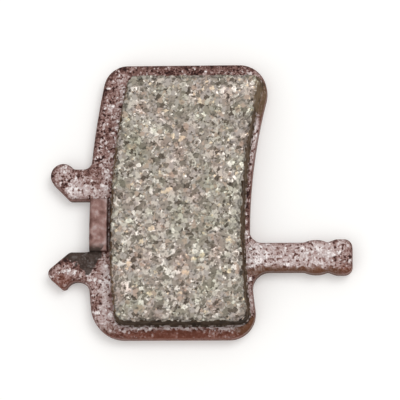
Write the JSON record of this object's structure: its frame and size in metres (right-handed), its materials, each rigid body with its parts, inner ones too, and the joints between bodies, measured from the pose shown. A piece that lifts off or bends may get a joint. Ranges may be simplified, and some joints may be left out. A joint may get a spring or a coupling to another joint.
{
  "type": "bicycle disc brake pad",
  "caption": "Disc brake pad: a copper-coated steel backing plate with two hooked ears, a pull tab and a square piston socket, carrying a curved friction block.",
  "frame": {"origin": "centre of the square piston socket, in the plane of the back face", "axes": "+X along the pull tab, towards the rotor's axle; +Y along the length of the friction block; +Z out of the friction face, towards the rotor"},
  "size_m": [0.0364, 0.0334, 0.004],
  "materials": {
    "coppered_steel": "satin",
    "friction_compound": "matte"
  },
  "bodies": {
    "root": {"backing_plate": "coppered_steel", "friction_block": "friction_compound"}
  },
  "joints": []
}
